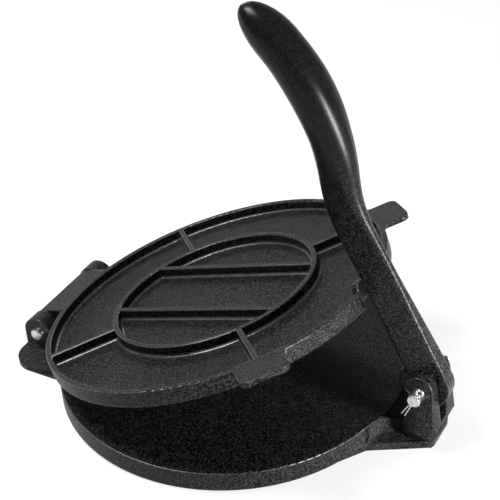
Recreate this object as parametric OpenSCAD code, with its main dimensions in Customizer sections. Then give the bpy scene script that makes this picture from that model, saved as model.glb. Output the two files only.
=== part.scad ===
// Cast-iron tortilla press: a flat base, an upper plate hinged to its back edge and a
// lever that turns in a clevis at the front. +X runs from the hinge to the clevis, +Y
// along the hinge pin and +Z up. The origin is the centre of the base's underside.

/* [Upper plate] */
// Diameter of the upper plate
plate_d = 260; // [240:1:280]
// Height of the upper plate's rim, over all
plate_h = 13; // [12:0.5:18]
// Thickness of the plate between its ribs
web_t = 5.2; // [4:0.2:7]
// Width of the rim around the top
rim_w = 4.3; // [3:0.1:6]
// Width of the four ribs, the ring and the two bars
rib_w = 4; // [3:0.5:6]
// Outside diameter of the raised ring
ring_d = 156; // [120:1:180]
// Clear width of the plain band between the two bars
band_w = 54; // [30:1:70]
// Radius of the fillets at the feet of the ribs
foot_r = 2; // [1:0.5:2.5]
// Radius along the top edges of the rim, ribs and tabs
edge_r = 1; // [0.5:0.1:1.4]

/* [Lift tabs] */
// How far each lift tab stands out from the rim
tab_l = 20; // [12:1:30]
// Width of each lift tab
tab_w = 34; // [24:1:50]
// Thickness of the lift tabs and of the hinge tab
tab_t = 4; // [3:0.5:5.5]
// Corner radius of the lift tabs
tab_corner_r = 6; // [3:0.5:10]
// Angle of each lift tab from the front
tab_angle = 45; // [30:1:60]

/* [Lever notch] */
// Depth of the notch in the rim that lets the plate swing past the lever
notch_depth = 8.5; // [6:0.5:12]
// Width of the notch at the rim
notch_mouth_w = 31; // [26:1:40]
// Width of the notch at its bottom
notch_floor_w = 9; // [6:0.5:14]

/* [Hinge] */
// Distance of the hinge pin from the edge of the upper plate
hinge_reach = 15.8; // [14:0.2:20]
// Depth of the hinge pin below the top of the rim
hinge_drop = 11.7; // [11:0.1:12.5]
// Width of the knuckle on the upper plate
knuckle_w = 60; // [40:1:70]
// Diameter of the knuckle
knuckle_d = 21; // [17:0.5:22]
// Thickness of each hinge ear on the base
hinge_ear_t = 13; // [8:0.5:16]
// Radius of the round top of each hinge ear
hinge_ear_r = 12.5; // [9:0.5:13.5]
// Diameter of the hinge pin
hinge_pin_d = 9.5; // [6:0.5:11]
// How far each end of the hinge pin stands out of its ear
hinge_pin_out = 3.5; // [1:0.5:8]

/* [Base] */
// Diameter of the base disc
base_d = 256; // [240:1:258]
// Height of the base disc
base_h = 16.3; // [15:0.1:18]
// Thickness of the top of the base disc
base_top_t = 6.5; // [5:0.5:8]
// Thickness of the wall around the base disc
base_wall_t = 6; // [5:0.5:9]
// Diameter of the hub under the middle of the base
hub_d = 30; // [20:1:50]
// Width of the four ribs under the base
base_rib_w = 5; // [4:0.5:8]
// How far those ribs stay above the table
base_rib_clear = 1.5; // [0.5:0.5:4]
// Radius along the lower edge of the base
base_edge_r = 2.5; // [1:0.5:3.5]
// Width of the flat foot behind the hinge ears
rear_foot_w = 134; // [120:1:150]
// Thickness of the rear foot
rear_foot_t = 5; // [3:0.5:6]
// Corner radius of the rear foot
rear_foot_r = 17; // [8:1:24]

/* [Clevis] */
// Distance of the lever pin from the edge of the base disc
clevis_reach = 27; // [26:0.5:30]
// Height of the lever pin above the table
pivot_h = 45; // [43:0.5:48]
// Width over both clevis ears at their foot
clevis_w = 39; // [35:0.5:44]
// Width over both clevis ears at their top
clevis_top_w = 31.5; // [29:0.5:34]
// Clear width between the clevis ears at the bottom
clevis_gap = 11; // [9:0.5:12.5]
// Clear width between the clevis ears at the top
clevis_top_gap = 17; // [15:0.5:18.5]
// Length of the clevis, front to back, at its foot
clevis_l = 23.5; // [21:0.5:26]
// Radius of the round top of each ear
clevis_ear_r = 10.2; // [9:0.1:11]
// Height of the ears' tops above the lever pin
clevis_rise = 13.4; // [12:0.1:15]
// Width of the neck between the disc and the clevis
neck_w = 25; // [22:1:28]
// Radius of the hollow curve where the neck meets the disc
neck_r = 28; // [18:1:34]
// Width of the front foot beside the disc
foot_root_w = 74; // [66:1:80]
// Width of the front foot at its tip
foot_tip_w = 33; // [28:1:36]
// Corner radius at the tip of the front foot
foot_tip_r = 5; // [2:0.5:8]
// Thickness of the front foot
front_foot_t = 5.5; // [4:0.5:8]
// How far behind the disc's edge the front foot's root lies
foot_root_back = 1.5; // [1:0.5:2.5]
// How far the front foot's tip stays behind the clevis's front
foot_tip_back = 2; // [1:0.5:4]
// Ledge that the front foot leaves around the clevis
foot_ledge = 1; // [0.5:0.5:2]
// Height of the step below the disc's top over which the clevis draws in to its foot
clevis_draw_h = 4; // [2:0.5:6]
// How far the ears' round tops stand in front of the lever pin
ear_shift = 0.4; // [0:0.1:1]
// Height of the gussets' noses above the neck
gusset_nose_h = 1; // [0.5:0.5:3]
// How far below the middle of the ears' round tops the gussets end
gusset_drop = 2; // [1:0.5:6]

/* [Lever] */
// Lean of the straight shank from upright, towards the plate
shank_lean = 28.5; // [27:0.5:30]
// Length of the straight shank above the pin
shank_l = 109; // [104:1:114]
// Depth of the shank, front to back
shank_depth = 26.8; // [24:0.2:28]
// Thickness of the shank at the clevis
shank_foot_t = 13; // [11.5:0.5:13.5]
// Thickness of the shank at its thinnest
shank_t = 7; // [6:0.5:10]
// How far the shank's middle line passes in front of the pin
shank_offset = 5.2; // [3:0.2:6]
// Radius along the edges of the shank
shank_edge_r = 3; // [2:0.5:3.2]
// Length of the bend between shank and grip
bend_l = 64; // [56:1:70]
// Lean that the bend alone would reach
bend_lean = 2.7; // [0:0.1:6]
// Length of the grip above the bend
grip_l = 117; // [105:1:125]
// Lean at the tip of the grip
tip_lean = 58; // [50:1:62]
// Depth of the grip at its middle
grip_depth = 27.6; // [25:0.2:30]
// Width of the grip at its middle
grip_w = 32; // [28:0.5:34]
// Diameter of the grip near its tip
tip_d = 29; // [26:0.5:31]
// Length of the egg-shaped tip
tip_l = 33; // [16:1:38]
// Diameter of the eye around the lever pin
eye_d = 36; // [32:0.5:37]
// Thickness of the eye
eye_t = 11; // [9:0.2:11.4]
// Thickness of the tongue between the shoulder and the eye
tongue_t = 11.6; // [10:0.2:12.6]
// Height of the shoulder above the pin, where the shank steps down to the tongue
shoulder_h = 17.6; // [15:0.2:22]
// Slope of the shoulder
shoulder_slope = 39.5; // [25:0.5:45]

/* [Lever pin and split pins] */
// Diameter of the lever pin
lever_pin_d = 9.5; // [7:0.5:10.5]
// Length of the lever pin
lever_pin_l = 47; // [46:1:56]
// How far the lever pin has slid towards -Y
lever_pin_slide = 1; // [0:0.5:1]
// Distance of the split pins' holes from the ends of the lever pin
split_inset = 2.6; // [2.4:0.1:3]
// Diameter of the split pins
split_d = 2.8; // [2:0.2:3]
// Length of the split pins' legs below the lever pin
split_leg_l = 12; // [6:1:16]
// Inside diameter of the split pins' eyes
split_eye_d = 3; // [2:0.2:4]
// Lean of the left split pin from upright
split_left_lean = 42; // [0:1:50]
// Lean of the right split pin from upright
split_right_lean = 27; // [0:1:50]
// Spread of each leg of the split pins
split_spread = 3; // [2:0.5:8]

/* [Fits] */
// Radial clearance of the pins in their bores
pin_fit = 0.06; // [0.02:0.01:0.1]
// Side clearance of the knuckle between the hinge ears
side_gap = 0.5; // [0.3:0.1:1]
// Gap between the base and the upper plate when it is shut
shut_gap = 0.4; // [0.3:0.1:1]
// Clearance of the shut plate in front of the clevis
nose_gap = 1; // [0.5:0.1:2]

/* [Pose] */
// How far the upper plate stands open
open_angle = 18.1; // [0:0.1:80]

/* [Hidden] */
$fn = 96;
iron = "#2b2b2c";
steel = "#c9cbcc";
over = 1;                 // overshoot of a cut past the face that it opens
small_fn = 48;            // sides of small rounds

plate_r = plate_d / 2;
base_r = base_d / 2;
floor_z = web_t - plate_h;                    // top of the web, below the rim's top
hinge_x = -(plate_r + hinge_reach);
hinge_z = base_h + shut_gap + plate_h - hinge_drop;
pivot_x = base_r + clevis_reach;
ear_z = pivot_h + clevis_rise - clevis_ear_r;   // centre of the ears' round tops
foot_root_x = base_r - foot_root_back;
foot_root_y = foot_root_w / 2;
flare_angle = 37;         // where the wall starts to swell towards the front foot
neck_angle = asin((neck_w / 2 + neck_r) / (base_r + neck_r));
ear_x = pivot_x + ear_shift;
clevis_back_x = ear_x - clevis_ear_r;
clevis_front_x = clevis_back_x + clevis_l;
draw_z = base_h - clevis_draw_h;                // where the clevis draws in to its foot
clevis_foot_x = clevis_front_x - foot_tip_back - foot_ledge;
clevis_foot_y = foot_tip_w / 2 - foot_ledge;
knuckle_back = 0.7 * tab_t;                     // how far the hinge tab passes the pin
pin_chamfer = 0.7;
hinge_w = knuckle_w + 2 * (side_gap + hinge_ear_t);
hinge_pin_l = hinge_w + 2 * hinge_pin_out;

// ---------------------------------------------------------------- small shared shapes

// A bar's cross-section standing on y = 0: round top corners and hollow feet.
module rib_profile(w, h) {
    translate([-w / 2, 0]) square([w, h - edge_r]);
    translate([-w / 2 + edge_r, 0]) square([w - 2 * edge_r, h]);
    for (side = [-1, 1]) {
        translate([side * (w / 2 - edge_r), h - edge_r]) circle(edge_r, $fn = small_fn);
        difference() {
            translate([side > 0 ? 0 : -w / 2 - foot_r, 0]) square([w / 2 + foot_r, foot_r]);
            translate([side * (w / 2 + foot_r), foot_r]) circle(foot_r, $fn = small_fn);
        }
    }
}

// A straight rib from x = x0 to x = x1 on the web of the upper plate.
module rib(x0, x1) {
    translate([x0, 0, floor_z]) rotate([90, 0, 90])
        linear_extrude(x1 - x0) rib_profile(rib_w, -floor_z);
}

// A flat disc sector of a corner: the square corner less its round.
module corner_cut(r) {
    difference() {
        translate([-over, -over]) square(r + over);
        translate([r, r]) circle(r, $fn = small_fn);
    }
}

// A pin along Y, centred on the origin, with a chamfer at both ends.
module pin_along_y(d, l, chamfer) {
    rotate([90, 0, 0]) rotate_extrude()
        polygon([[0, -l / 2], [d / 2 - chamfer, -l / 2], [d / 2, -l / 2 + chamfer],
                 [d / 2, l / 2 - chamfer], [d / 2 - chamfer, l / 2], [0, l / 2]]);
}

// A bore along Y, centred on the origin.
module bore_along_y(d, l) {
    rotate([90, 0, 0]) cylinder(h = l, d = d + 2 * pin_fit, center = true);
}

// ------------------------------------------------------------------------ upper plate

// The disc and its rim in one turn: web, upstanding rim and the hollow at the rim's foot.
module plate_pan() {
    rotate_extrude($fn = 180) {
        difference() {
            translate([0, -plate_h]) square([plate_r, web_t]);
            translate([plate_r, -plate_h]) rotate(90) corner_cut(base_edge_r);
        }
        translate([plate_r - rim_w / 2, floor_z]) difference() {
            rib_profile(rim_w, -floor_z);
            translate([rim_w / 2, -over]) square([foot_r + over, -floor_z]);
        }
    }
}

module plate_ring() {
    rotate_extrude($fn = 144)
        translate([ring_d / 2 - rib_w / 2, floor_z]) rib_profile(rib_w, -floor_z);
}

// Two straight bars across the ring, either side of the plain band.
module plate_bars() {
    bar_y = band_w / 2 + rib_w / 2;
    half = sqrt(pow(ring_d / 2 - rib_w / 2, 2) - pow(bar_y, 2));
    for (side = [-1, 1]) translate([0, side * bar_y, 0]) rib(-half, half);
}

module plate_ribs() {
    for (a = [0:3]) rotate(a * 90 + tab_angle)
        rib(ring_d / 2 - rib_w / 2, plate_r - rim_w / 2);
}

// Plan of a lift tab, with round corners and hollow curves where it leaves the rim.
module tab_plan() {
    root_r = tab_corner_r / 2;
    cx = sqrt(pow(plate_r + root_r, 2) - pow(tab_w / 2 + root_r, 2));
    tip_x = plate_r + tab_l;
    difference() {
        union() {
            translate([cx - 2 * root_r, -tab_w / 2 - root_r])
                square([2 * root_r, tab_w + 2 * root_r]);
            translate([cx - 2 * root_r, -tab_w / 2])
                square([tip_x - cx + 2 * root_r, tab_w]);
        }
        for (side = [-1, 1]) {
            translate([cx, side * (tab_w / 2 + root_r)]) circle(root_r, $fn = small_fn);
            translate([tip_x, side * tab_w / 2]) rotate(side > 0 ? 180 : 90)
                corner_cut(tab_corner_r);
        }
    }
}

module lift_tabs() {
    for (side = [-1, 1]) rotate(side * tab_angle)
        translate([0, 0, -tab_t]) linear_extrude(tab_t) tab_plan();
}

// The hinge tab with its knuckle, from the pin to the rim.
module knuckle() {
    rim_x = -(plate_r - rim_w);
    translate([0, knuckle_w / 2, 0]) rotate([90, 0, 0]) linear_extrude(knuckle_w) {
        translate([-(plate_r + hinge_reach), -hinge_drop]) circle(d = knuckle_d);
        polygon([[-(plate_r + hinge_reach) - knuckle_back, 0],
                 [rim_x - over, 0],
                 [rim_x - over, -plate_h],
                 [-plate_r, -plate_h],
                 [-(plate_r + hinge_reach), -hinge_drop - knuckle_d / 2],
                 [-(plate_r + hinge_reach) - knuckle_back, -hinge_drop]]);
    }
}

module lever_notch() {
    translate([0, 0, -plate_h - over]) linear_extrude(plate_h + 2 * over)
        polygon([[plate_r - notch_depth, -notch_floor_w / 2],
                 [plate_r - notch_depth, notch_floor_w / 2],
                 [plate_r, notch_mouth_w / 2], [plate_r + tab_l, notch_mouth_w],
                 [plate_r + tab_l, -notch_mouth_w], [plate_r, -notch_mouth_w / 2]]);
}

// The short upstand that closes the bottom of the notch.
module notch_stop() {
    translate([plate_r - notch_depth - rim_w, -notch_floor_w / 2, floor_z - over])
        cube([rim_w, notch_floor_w, -floor_z + over]);
}

module upper_plate() {
    color(iron)
    translate([hinge_x, 0, hinge_z]) rotate([0, -open_angle, 0])
    translate([-hinge_x, 0, hinge_drop]) difference() {
        union() {
            difference() {
                plate_pan();
                lever_notch();
            }
            notch_stop();
            plate_ring();
            plate_bars();
            plate_ribs();
            lift_tabs();
            knuckle();
        }
        translate([hinge_x, 0, -hinge_drop]) bore_along_y(hinge_pin_d, knuckle_w + 2 * over);
    }
}

// ------------------------------------------------------------------------------- base

// Half section of the base disc: flat top, wall and hollow underside.
module base_pan() {
    rotate_extrude($fn = 180) difference() {
        square([base_r, base_h]);
        square([base_r - base_wall_t, base_h - base_top_t]);
        translate([base_r, 0]) rotate(90) corner_cut(base_edge_r);
        translate([base_r, base_h]) rotate(180) corner_cut(edge_r);
    }
}

module base_underside() {
    cylinder(h = base_h - base_top_t + over, d = hub_d);
    for (a = [0:3]) rotate(a * 90 + tab_angle)
        translate([0, -base_rib_w / 2, base_rib_clear])
            cube([base_r - base_wall_t / 2, base_rib_w, base_h - base_rib_clear - over]);
}

module rear_foot() {
    x0 = hinge_x - hinge_ear_r;
    x1 = -sqrt(pow(base_r - base_wall_t / 2, 2) - pow(rear_foot_w / 2, 2));
    difference() {
        linear_extrude(rear_foot_t) difference() {
            translate([x0, -rear_foot_w / 2]) square([x1 - x0, rear_foot_w]);
            translate([x0, -rear_foot_w / 2]) corner_cut(rear_foot_r);
            translate([x0, rear_foot_w / 2]) rotate(-90) corner_cut(rear_foot_r);
        }
        translate([0, 0, -over]) cylinder(h = rear_foot_t + 2 * over, r = base_r - base_wall_t / 2);
    }
}

module hinge_ears() {
    gap = knuckle_w / 2 + side_gap;
    for (side = [-1, 1])
        translate([0, side > 0 ? gap + hinge_ear_t : -gap, 0]) rotate([90, 0, 0])
            linear_extrude(hinge_ear_t) {
                translate([hinge_x, hinge_z]) circle(hinge_ear_r);
                translate([hinge_x - hinge_ear_r, 0]) square([2 * hinge_ear_r, hinge_z]);
                translate([hinge_x, 0])
                    square([-base_r + base_wall_t - hinge_x, base_h]);
            }
}

// Plan of the neck: it leaves the disc in two hollow curves.
module neck_plan() {
    cx = sqrt(pow(base_r + neck_r, 2) - pow(neck_w / 2 + neck_r, 2));
    root = (neck_w / 2 + neck_r) * base_r / (base_r + neck_r);
    difference() {
        translate([base_r - base_wall_t * 2, -root])
            square([cx - base_r + base_wall_t * 2, 2 * root]);
        for (side = [-1, 1]) translate([cx, side * (neck_w / 2 + neck_r)]) circle(neck_r);
    }
    translate([cx - over, -neck_w / 2]) square([clevis_back_x - cx + 2 * over, neck_w]);
}

module neck() {
    difference() {
        linear_extrude(base_h) neck_plan();
        translate([0, 0, -over]) cylinder(h = base_h + 2 * over, r = base_r - base_wall_t / 2);
    }
}

// The flat foot under the clevis narrows from the disc to a round tip.
module front_foot() {
    corner_x = clevis_front_x - foot_tip_back - foot_tip_r;
    corner_y = foot_tip_w / 2 - foot_tip_r;
    edge = atan2(foot_root_y - foot_tip_w / 2, corner_x + foot_tip_r - foot_root_x);
    side_x = corner_x + foot_tip_r * sin(edge);
    side_y = corner_y + foot_tip_r * cos(edge);
    difference() {
        linear_extrude(front_foot_t) {
            polygon([[foot_root_x - over, -foot_root_y], [foot_root_x, -foot_root_y],
                     [side_x, -side_y], [side_x, side_y],
                     [foot_root_x, foot_root_y], [foot_root_x - over, foot_root_y]]);
            for (side = [-1, 1]) translate([corner_x, side * corner_y]) circle(foot_tip_r);
            translate([corner_x, -corner_y]) square([foot_tip_r, 2 * corner_y]);
        }
        translate([0, 0, -over]) cylinder(h = base_h, r = base_r - base_wall_t / 2);
    }
}

// On each side the disc's wall swells out to the root of the front foot.
module foot_flares() {
    inner = base_r - base_wall_t / 2;
    slice = 0.5;          // thickness of the three levels that the swelling runs through
    for (side = [-1, 1]) hull() {
        for (level = [[0, base_r - base_edge_r], [front_foot_t - slice, base_r]])
            translate([0, 0, level[0]]) linear_extrude(slice)
                polygon([[level[1] * cos(flare_angle), side * level[1] * sin(flare_angle)],
                         [foot_root_x, side * foot_root_y],
                         [inner * cos(flare_angle), side * inner * sin(flare_angle)],
                         [inner * cos(neck_angle), side * inner * sin(neck_angle)]]);
        translate([0, 0, base_h - 2 * edge_r]) linear_extrude(slice)
            polygon([[inner * cos(flare_angle), side * inner * sin(flare_angle)],
                     [base_r * cos(neck_angle), side * base_r * sin(neck_angle)],
                     [inner * cos(neck_angle), side * inner * sin(neck_angle)]]);
    }
}

// The clevis seen from the side: a block with a round top and a leaning front.
module clevis_side() {
    polygon([[clevis_back_x, 0], [clevis_foot_x, 0], [clevis_foot_x, front_foot_t],
             [clevis_front_x, draw_z], [ear_x + clevis_ear_r, ear_z],
             [clevis_back_x, ear_z]]);
    translate([ear_x, ear_z]) circle(clevis_ear_r);
}

// The clevis seen from the front: two ears that narrow upwards, on a foot that draws in.
module clevis_front() {
    top = pivot_h + clevis_rise;
    difference() {
        polygon([[-clevis_foot_y, 0], [clevis_foot_y, 0],
                 [clevis_foot_y, front_foot_t], [clevis_w / 2, draw_z],
                 [clevis_top_w / 2, top], [-clevis_top_w / 2, top],
                 [-clevis_w / 2, draw_z], [-clevis_foot_y, front_foot_t]]);
        polygon([[-clevis_gap / 2, base_h], [clevis_gap / 2, base_h],
                 [clevis_top_gap / 2, top + over], [-clevis_top_gap / 2, top + over]]);
    }
}

module clevis() {
    intersection() {
        translate([0, clevis_w / 2, 0]) rotate([90, 0, 0])
            linear_extrude(clevis_w) clevis_side();
        translate([clevis_back_x - over, 0, 0]) rotate([90, 0, 90])
            linear_extrude(clevis_l + 2 * over) clevis_front();
    }
}

// A gusset behind each ear, in front of the shut plate's edge.
module gussets() {
    x0 = plate_r + nose_gap;
    t = neck_w / 2 - clevis_top_gap / 2;
    for (side = [-1, 1])
        translate([0, side > 0 ? neck_w / 2 : -clevis_top_gap / 2, 0]) rotate([90, 0, 0])
            linear_extrude(t)
                polygon([[x0, base_h - over], [clevis_back_x + over, base_h - over],
                         [clevis_back_x + over, ear_z - gusset_drop],
                         [clevis_back_x, ear_z - gusset_drop],
                         [x0, base_h + gusset_nose_h]]);
}

module base() {
    color(iron) difference() {
        union() {
            base_pan();
            base_underside();
            rear_foot();
            hinge_ears();
            neck();
            front_foot();
            foot_flares();
            clevis();
            gussets();
        }
        translate([hinge_x, 0, hinge_z]) bore_along_y(hinge_pin_d, hinge_w + 2 * over);
        translate([pivot_x, 0, pivot_h]) bore_along_y(lever_pin_d, clevis_w + 2 * over);
    }
}

// ------------------------------------------------------------------------------ lever

grip_start = shank_l + bend_l;
curl_start = shank_l + 0.7 * bend_l;       // where the curl towards the tip begins
lever_end = grip_start + grip_l;
grip_mid = grip_start + 0.45 * grip_l;     // where the grip is fullest
tip_start = lever_end - tip_l;
taper_end = 0.75 * shank_l;                // where the shank is thinnest
swell_start = 0.9 * shank_l;               // where it begins to swell into the grip
sweep_step = 5;
arc_steps = 6;                             // points round each quarter of a section
full_round = 0.98;                         // largest share of a half size that is round
tip_blunt = 0.004;                         // keeps the last section of the tip from closing

// Rises from 0 to 1 as s goes from a to b: straight, or smoothly at both ends.
function ramp(s, a, b) = min(1, max(0, (s - a) / (b - a)));
function ease(s, a, b) = let(t = ramp(s, a, b)) t * t * (3 - 2 * t);

// Lean, half depth, half width and edge radius at a distance s along the lever.
function lean(s) = shank_lean
    + (bend_lean - shank_lean) * ease(s, shank_l, grip_start)
    + (tip_lean - bend_lean) * ramp(s, curl_start, lever_end);
function half_depth(s) = shank_depth / 2
    + (grip_depth - shank_depth) / 2 * ease(s, shank_l, grip_mid)
    + (tip_d - grip_depth) / 2 * ease(s, grip_mid, tip_start);
function half_width(s) = shank_foot_t / 2
    + (shank_t - shank_foot_t) / 2 * ramp(s, eye_d / 2, taper_end)
    + (grip_w - shank_t) / 2 * ease(s, swell_start, grip_mid)
    + (tip_d - grip_w) / 2 * ease(s, grip_mid, tip_start);
function edge_round(s) = shank_edge_r
    + (grip_w / 2 - shank_edge_r) * ease(s, swell_start, grip_mid);
// The egg-shaped tip: 1 along the grip, then down to nearly nothing.
function tip(s) = s < tip_start ? 1
    : sqrt(max(tip_blunt, 1 - pow((s - tip_start) / tip_l, 2)));

// Places along the lever: even steps, then closer ones round the tip.
stations = concat(
    [for (s = [0:sweep_step:tip_start - 1]) s],
    [for (t = [0:10:80]) tip_start + tip_l * sin(t)], [lever_end]);
// The middle line, added up step by step from the pin.
function walk(i) = i == 0
    ? [shank_offset * cos(shank_lean), shank_offset * sin(shank_lean)]
    : let(p = walk(i - 1), s = stations[i], d = s - stations[i - 1],
          m = lean((s + stations[i - 1]) / 2))
      [p[0] - d * sin(m), p[1] + d * cos(m)];

// A rounded rectangle of half sizes a and b, as points [across, along the pin].
function round_section(a, b, r) =
    [for (q = [0:3], k = [0:arc_steps - 1])
        let(t = q * 90 + k * 90 / (arc_steps - 1),
            sx = (q == 0 || q == 3) ? 1 : -1, sy = q < 2 ? 1 : -1)
        [sx * (a - r) + r * cos(t), sy * (b - r) + r * sin(t)]];
function ring_points(i) =
    let(s = stations[i], c = tip(s), a = half_depth(s) * c, b = half_width(s) * c,
        r = min(edge_round(s) * c, a * full_round, b * full_round), m = lean(s), p = walk(i))
    [for (q = round_section(a, b, r)) [p[0] + q[0] * cos(m), q[1], p[1] + q[0] * sin(m)]];

module lever_body() {
    n = 4 * arc_steps;
    last = len(stations) - 1;
    points = [for (i = [0:last]) each ring_points(i)];
    faces = concat(
        [[for (k = [0:n - 1]) k]],
        [for (i = [0:last - 1], k = [0:n - 1], half = [0:1])
            let(a = i * n + k, b = i * n + (k + 1) % n)
            half == 0 ? [a, a + n, b] : [b, a + n, b + n]],
        [[for (k = [n - 1:-1:0]) last * n + k]]);
    polyhedron(points, faces);
}

// What is cut away beside the tongue, below the shoulder, on both sides.
module shoulder_cuts() {
    for (side = [-1, 1])
        translate([0, side * (tongue_t + grip_w) / 2, shoulder_h])
            rotate([0, -shoulder_slope, 0])
                translate([-eye_d, -grip_w / 2, -2 * eye_d])
                    cube([2 * eye_d, grip_w, 2 * eye_d]);
}

module lever() {
    color(iron) translate([pivot_x, 0, pivot_h]) difference() {
        union() {
            difference() {
                lever_body();
                shoulder_cuts();
            }
            rotate([90, 0, 0]) cylinder(h = eye_t, d = eye_d, center = true);
        }
        bore_along_y(lever_pin_d, eye_t + 2 * over);
    }
}

// ------------------------------------------------------------------------------- pins

module hinge_pin() {
    color(steel) translate([hinge_x, 0, hinge_z])
        pin_along_y(hinge_pin_d, hinge_pin_l, pin_chamfer);
}

// Where the two split pins cross the lever pin.
split_left_y = lever_pin_l / 2 - lever_pin_slide - split_inset;
split_right_y = -lever_pin_l / 2 - lever_pin_slide + split_inset;

module lever_pin() {
    color(steel) translate([pivot_x, 0, pivot_h]) difference() {
        translate([0, -lever_pin_slide, 0]) pin_along_y(lever_pin_d, lever_pin_l, pin_chamfer);
        for (split = [[split_left_y, split_left_lean], [split_right_y, split_right_lean]])
            translate([0, split[0], 0]) rotate([0, split[1], 0])
                cylinder(h = lever_pin_d + 2 * over, d = split_d + 2 * pin_fit,
                         center = true, $fn = small_fn);
    }
}

// One split pin: a round eye above the lever pin, a closed stem and two legs below it.
module split_pin(y, lean_angle) {
    wire_r = 0.3 * split_d;
    ring_r = split_eye_d / 2 + wire_r;
    stem = 1.4;           // how far the closed stem runs on past the lever pin
    leg_gap = 0.1;        // from the middle of the stem to each leg's side
    r = lever_pin_d / 2;
    color(steel) translate([pivot_x, y, pivot_h]) rotate([0, lean_angle, 0]) {
        translate([0, 0, -r - stem]) cylinder(h = 2 * r + 1.5 * stem, d = split_d, $fn = small_fn);
        translate([0, 0, r + ring_r + wire_r]) rotate([90, 0, 0])
            rotate_extrude($fn = small_fn) translate([ring_r, 0]) circle(wire_r, $fn = 24);
        for (side = [-1, 1])
            translate([side * (wire_r * 0.7 + leg_gap), 0, -r - 0.5 * stem])
                rotate([0, -side * split_spread, 0])
                    translate([0, 0, -split_leg_l])
                        cylinder(h = split_leg_l, r = 0.7 * wire_r, $fn = small_fn);
    }
}

module split_pin_left() {
    split_pin(split_left_y, split_left_lean);
}

module split_pin_right() {
    split_pin(split_right_y, split_right_lean);
}

base();
upper_plate();
lever();
hinge_pin();
lever_pin();
split_pin_left();
split_pin_right();
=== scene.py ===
import math

import bpy
from mathutils import Matrix, Vector


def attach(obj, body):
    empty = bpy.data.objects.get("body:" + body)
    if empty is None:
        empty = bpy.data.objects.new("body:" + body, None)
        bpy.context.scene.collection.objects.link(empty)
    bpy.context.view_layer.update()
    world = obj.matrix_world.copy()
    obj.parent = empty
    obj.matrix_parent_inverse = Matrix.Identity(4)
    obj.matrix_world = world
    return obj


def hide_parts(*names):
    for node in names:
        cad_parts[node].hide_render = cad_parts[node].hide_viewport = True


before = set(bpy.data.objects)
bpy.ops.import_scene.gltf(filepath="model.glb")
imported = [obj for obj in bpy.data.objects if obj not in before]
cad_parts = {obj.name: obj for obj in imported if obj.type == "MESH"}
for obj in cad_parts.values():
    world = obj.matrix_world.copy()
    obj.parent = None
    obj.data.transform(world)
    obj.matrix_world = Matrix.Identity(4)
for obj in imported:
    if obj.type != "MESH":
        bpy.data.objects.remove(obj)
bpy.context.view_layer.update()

MM = 0.001
PINS = ("hinge_pin", "lever_pin", "split_pin_left", "split_pin_right")
PLATE_LEAN = math.radians(18.1)     # how far the upper plate stands open
SMOOTH_ANGLE = math.radians(32)     # facets that meet at less than this are one curve


# ------------------------------------------------------------------ camera and light

CAMERA_PLACE = Vector((0.3986, -0.6356, 0.6177))
CAMERA_AIM = Vector((0.0101, 0.0193, 0.1000))
CAMERA_ROLL = math.radians(-3.57)
CAMERA_LENS = 92.63                 # on a 36 mm wide sensor
LAMP_AIM = Vector((0, 0, 0.08))     # the middle of the press


def make_camera():
    data = bpy.data.cameras.new("camera")
    data.lens = CAMERA_LENS
    data.sensor_width = 36
    data.clip_start, data.clip_end = 0.05, 20
    camera = bpy.data.objects.new("camera", data)
    bpy.context.scene.collection.objects.link(camera)
    look = (CAMERA_AIM - CAMERA_PLACE).to_track_quat("-Z", "Y").to_matrix().to_4x4()
    camera.matrix_world = (Matrix.Translation(CAMERA_PLACE) @ look
                           @ Matrix.Rotation(CAMERA_ROLL, 4, "Z"))
    bpy.context.scene.camera = camera


def softbox(name, direction, distance, size, power):
    """A rectangular studio softbox that stands in that direction from the press."""
    data = bpy.data.lights.new(name, "AREA")
    data.shape = "RECTANGLE"
    data.size, data.size_y = size
    data.energy = power
    lamp = bpy.data.objects.new(name, data)
    bpy.context.scene.collection.objects.link(lamp)
    lamp.location = LAMP_AIM + Vector(direction).normalized() * distance
    lamp.rotation_mode = "QUATERNION"
    lamp.rotation_quaternion = (LAMP_AIM - lamp.location).to_track_quat("-Z", "Y")


def make_lights():
    # the right-hand box draws the streak down the grip, the top one the lines along
    # the foot fillets, and the back one the sheen on the open plate
    softbox("softbox_right", (0.98, -0.15, 0.12), 1.2, (0.26, 0.5), 30)
    softbox("softbox_top", (-0.40, -0.15, 0.90), 1.2, (0.45, 0.45), 16)
    softbox("softbox_back", (-0.62, 0.72, 0.31), 1.5, (0.4, 0.25), 2.6)


# ------------------------------------------------------------------------- materials

def linear(hex_colour):
    """An sRGB hex colour as Blender's linear RGBA."""
    channels = [int(hex_colour[i:i + 2], 16) / 255 for i in (1, 3, 5)]
    return [c / 12.92 if c <= 0.04045 else ((c + 0.055) / 1.055) ** 2.4
            for c in channels] + [1.0]


def node(tree, kind, settings=None, inputs=None, links=None, stops=()):
    """Adds a node, sets it and links (node, output) pairs to its inputs.

    stops holds the two (position, hex colour) ends of a colour ramp.
    """
    new = tree.nodes.new(kind)
    for key, value in (settings or {}).items():
        setattr(new, key, value)
    for key, value in (inputs or {}).items():
        new.inputs[key].default_value = value
    for key, (source, output) in (links or {}).items():
        tree.links.new(source.outputs[output], new.inputs[key])
    for i, (position, colour) in enumerate(stops):
        new.color_ramp.elements[i].position = position
        new.color_ramp.elements[i].color = linear(colour)
    return new


def new_material(name):
    material = bpy.data.materials.new(name)
    material.use_nodes = True
    tree = material.node_tree
    shader = tree.nodes["Principled BSDF"]
    place = node(tree, "ShaderNodeTexCoord")
    return material, tree, shader, place


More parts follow.
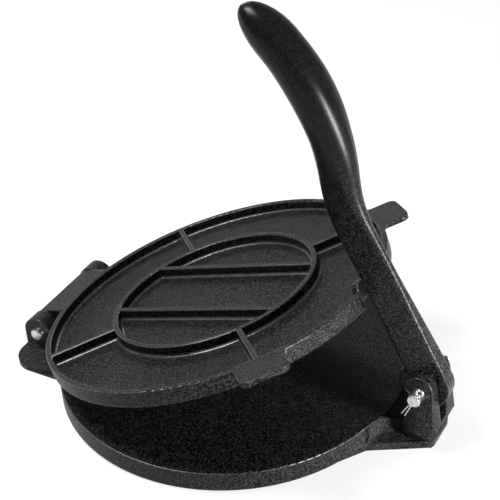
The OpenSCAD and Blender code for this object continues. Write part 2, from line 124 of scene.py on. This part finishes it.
def sand_cast_iron(name, low_colour, glint_and_grain_colour, low_rough, high_rough, depth_mm,
                   grip=None):
    """Grey iron cast in green sand and baked with oil: satin black, finely grained.

    The sand leaves a print of its grains.  The grey specks painted into the base colour
    are partly the grains' own lighter tone and partly painted glints where grains would
    catch the light.  depth_mm is the depth of that print.  grip = (low, high, colour)
    gives the heights, in metres, between which it fades to the closer, darker skin of a
    hand grip.
    """
    material, tree, shader, place = new_material(name)
    # moulding sand is 0.1 to 0.3 mm, too fine to show, so the grains are 0.75 mm here
    grain = node(tree, "ShaderNodeTexVoronoi", inputs={"Scale": 1 / (0.75 * MM)},
                 links={"Vector": (place, "Object")})
    # the slow unevenness of a rammed mould
    swell = node(tree, "ShaderNodeTexNoise",
                 inputs={"Scale": 1 / (14 * MM), "Detail": 2.0},
                 links={"Vector": (place, "Object")})
    # painted glints: the light end of this ramp makes grey specks that stand partly for
    # grains catching the light and partly for their own tone
    colour = node(tree, "ShaderNodeValToRGB", links={"Fac": (grain, "Color")},
                  stops=((0.48, low_colour), (0.84, glint_and_grain_colour)))
    rough = node(tree, "ShaderNodeMapRange",
                 inputs={"To Min": low_rough, "To Max": high_rough},
                 links={"Value": (swell, "Fac")})
    tree.links.new(rough.outputs["Result"], shader.inputs["Roughness"])

    # the oil gathers and dries glossy where the surface bends within 1.3 mm
    shape = node(tree, "ShaderNodeNewGeometry")
    edge = node(tree, "ShaderNodeBevel", {"samples": 8}, {"Radius": 1.3 * MM})
    bend = node(tree, "ShaderNodeVectorMath", {"operation": "DOT_PRODUCT"},
                links={0: (edge, "Normal"), 1: (shape, "Normal")})
    gloss = node(tree, "ShaderNodeMapRange",
                 inputs={"From Min": 0.995, "From Max": 0.95, "To Min": 0.0,
                         "To Max": 1.0},
                 links={"Value": (bend, "Value")})
    tree.links.new(gloss.outputs["Result"], shader.inputs["Coat Weight"])
    shader.inputs["Coat Roughness"].default_value = 0.25

    low = node(tree, "ShaderNodeBump", inputs={"Strength": 0.3, "Distance": 0.5 * MM},
               links={"Height": (swell, "Fac"), "Normal": (edge, "Normal")})
    fine = node(tree, "ShaderNodeBump",
                inputs={"Strength": 1.0, "Distance": depth_mm * MM},
                links={"Height": (grain, "Distance"), "Normal": (low, "Normal")})
    tree.links.new(fine.outputs["Normal"], shader.inputs["Normal"])
    tree.links.new(low.outputs["Normal"], shader.inputs["Coat Normal"])
    if grip:
        parts = node(tree, "ShaderNodeSeparateXYZ", links={"Vector": (place, "Object")})
        fade = node(tree, "ShaderNodeMapRange",
                    inputs={"From Min": grip[0], "From Max": grip[1],
                            "To Min": 1.0, "To Max": 0.12},
                    links={"Value": (parts, "Z")})
        tree.links.new(fade.outputs["Result"], fine.inputs["Strength"])
        colour = node(tree, "ShaderNodeMixRGB", inputs={"Color1": linear(grip[2])},
                      links={"Fac": (fade, "Result"), "Color2": (colour, "Color")})
    tree.links.new(colour.outputs["Color"], shader.inputs["Base Color"])
    # the sooty film of baked oil gives back little light, a handled grip a little more
    shader.inputs["Specular IOR Level"].default_value = 0.15 if grip else 0.12
    return material


def oil_glossed_fillets():
    """Baked-on oil over the rounded edges and foot fillets of the castings.

    It runs together there and dries glossy, which draws a bright, slightly uneven line
    along every rib.
    """
    material, tree, shader, place = new_material("oil_glossed_iron_fillets")
    # small runs and pools of oil
    pool = node(tree, "ShaderNodeTexNoise",
                inputs={"Scale": 1 / (1.7 * MM), "Detail": 1.0, "Roughness": 0.6},
                links={"Vector": (place, "Object")})
    colour = node(tree, "ShaderNodeValToRGB", links={"Fac": (pool, "Fac")},
                  stops=((0.42, "#0a0a0a"), (0.66, "#3a3a3c")))
    tree.links.new(colour.outputs["Color"], shader.inputs["Base Color"])
    rough = node(tree, "ShaderNodeMapRange", inputs={"To Min": 0.28, "To Max": 0.40},
                 links={"Value": (pool, "Fac")})
    tree.links.new(rough.outputs["Result"], shader.inputs["Roughness"])
    fine = node(tree, "ShaderNodeBump", inputs={"Strength": 0.6, "Distance": 0.3 * MM},
                links={"Height": (pool, "Fac")})
    tree.links.new(fine.outputs["Normal"], shader.inputs["Normal"])
    shader.inputs["Specular IOR Level"].default_value = 1.0
    return material


def zinc_plated_steel():
    """Drawn steel rod and wire, zinc-plated bright: pale metal, faintly clouded."""
    material, tree, shader, place = new_material("zinc_plated_steel")
    # the plating's crystals are about 0.1 mm; these clouds stand for groups of them
    cloud = node(tree, "ShaderNodeTexNoise",
                 inputs={"Scale": 1 / (2.5 * MM), "Detail": 3.0},
                 links={"Vector": (place, "Object")})
    colour = node(tree, "ShaderNodeValToRGB", links={"Fac": (cloud, "Fac")},
                  stops=((0.3, "#b9bbbd"), (0.7, "#dcdddf")))
    tree.links.new(colour.outputs["Color"], shader.inputs["Base Color"])
    rough = node(tree, "ShaderNodeMapRange", inputs={"To Min": 0.22, "To Max": 0.38},
                 links={"Value": (cloud, "Fac")})
    tree.links.new(rough.outputs["Result"], shader.inputs["Roughness"])
    shader.inputs["Metallic"].default_value = 1.0
    return material


# ------------------------------------------------------------------------------ stage

def rays_that_see(tree):
    """1 for camera, glossy and transmission rays, 0 for those that carry light."""
    path = node(tree, "ShaderNodeLightPath")
    seen = node(tree, "ShaderNodeMath", {"operation": "MAXIMUM"},
                links={0: (path, "Is Camera Ray"), 1: (path, "Is Glossy Ray")})
    return node(tree, "ShaderNodeMath", {"operation": "MAXIMUM"},
                links={0: (seen, 0), 1: (path, "Is Transmission Ray")})


def white_floor():
    """Matt white studio board, which keeps a faint soft shadow.

    Its own glow makes up for the lamps, which light it less and less further out.
    """
    material, tree, shader, place = new_material("white_studio_board")
    shader.inputs["Base Color"].default_value = linear("#9c9c9c")
    shader.inputs["Roughness"].default_value = 0.9
    shader.inputs["Specular IOR Level"].default_value = 0.0
    shader.inputs["Emission Color"].default_value = (1, 1, 1, 1)
    reach = node(tree, "ShaderNodeVectorMath", {"operation": "LENGTH"},
                 links={0: (place, "Object")})
    level = node(tree, "ShaderNodeMapRange",
                 inputs={"From Min": 0.9, "From Max": 1.8, "To Min": 0.72,
                         "To Max": 1.0},
                 links={"Value": (reach, "Value")})
    glow = node(tree, "ShaderNodeMath", {"operation": "MULTIPLY"},
                links={0: (rays_that_see(tree), 0), 1: (level, "Result")})
    tree.links.new(glow.outputs[0], shader.inputs["Emission Strength"])
    return material


def make_floor():
    bpy.ops.mesh.primitive_plane_add(size=36, location=(0, 0, -0.2 * MM))
    floor = bpy.context.object
    floor.name = "floor"
    floor.data.materials.append(white_floor())


def make_world():
    """Pale studio walls, which the camera and glossy metal see, and little fill light."""
    world = bpy.data.worlds.new("studio")
    bpy.context.scene.world = world
    world.use_nodes = True
    tree = world.node_tree
    background = tree.nodes["Background"]
    background.inputs["Color"].default_value = (1, 1, 1, 1)
    level = node(tree, "ShaderNodeMapRange", inputs={"To Min": 0.06, "To Max": 0.35},
                 links={"Value": (rays_that_see(tree), 0)})
    tree.links.new(level.outputs["Result"], background.inputs["Strength"])


# --------------------------------------------------------------------------- castings

FILLET_FACET = 0.5 * MM     # the facets of the 1 mm and 2 mm rounds are narrower
WALL, FLAT = 0.08, 0.97     # how much of a normal points up on a wall and on a flat


def gloss_fillets(piece, lean):
    """Gives the narrow sloping facets of the rounds the piece's second material.

    lean is how far the piece is tilted back about the hinge, in radians.
    """
    up = Vector((-math.sin(lean), 0, math.cos(lean)))
    corners = piece.data.vertices
    for face in piece.data.polygons:
        ends = [corners[i].co for i in face.vertices]
        longest = max((ends[i] - ends[i - 1]).length for i in range(3))
        narrow = 2 * face.area / longest < FILLET_FACET
        if narrow and WALL < face.normal.dot(up) < FLAT:
            face.material_index = 1


def casting(name, body, material):
    """A copy of a cast piece, its loose triangles joined and its rounds smooth."""
    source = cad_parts[name]
    piece = bpy.data.objects.new(name + "_casting", source.data.copy())
    bpy.context.scene.collection.objects.link(piece)
    bpy.ops.object.select_all(action="DESELECT")
    piece.select_set(True)
    bpy.context.view_layer.objects.active = piece
    bpy.ops.object.mode_set(mode="EDIT")
    bpy.ops.mesh.select_all(action="SELECT")
    bpy.ops.mesh.remove_doubles(threshold=0.002 * MM)
    bpy.ops.object.mode_set(mode="OBJECT")
    piece.data.materials.clear()
    piece.data.materials.append(material)
    if body != "lever":
        piece.data.materials.append(fillet_iron)
        gloss_fillets(piece, PLATE_LEAN if body == "plate" else 0)
    bpy.ops.object.shade_smooth_by_angle(angle=SMOOTH_ANGLE)
    flat = piece.modifiers.new("flat_faces", "WEIGHTED_NORMAL")
    flat.keep_sharp = True
    bpy.ops.object.modifier_apply(modifier="flat_faces")
    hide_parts(name)
    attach(piece, body)


# ------------------------------------------------------------------------------ build

bpy.ops.object.select_all(action="DESELECT")
make_camera()
make_lights()
make_world()
make_floor()
# the light colours here are partly painted glints on the grains and partly the grains'
# own tone
iron = sand_cast_iron("seasoned_sand_cast_iron", "#040404", "#3e3e40", 0.32, 0.40, 0.28)
grip_iron = sand_cast_iron("seasoned_cast_iron_lever", "#0f0f0f", "#4a4a4c", 0.24, 0.31,
                           0.10, (0.13, 0.22, "#070708"))
fillet_iron = oil_glossed_fillets()
steel = zinc_plated_steel()
casting("base", "base", iron)
casting("upper_plate", "plate", iron)
casting("lever", "lever", grip_iron)
for name in PINS:
    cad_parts[name].data.materials.clear()
    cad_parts[name].data.materials.append(steel)

bpy.context.scene.view_settings.view_transform = "Standard"
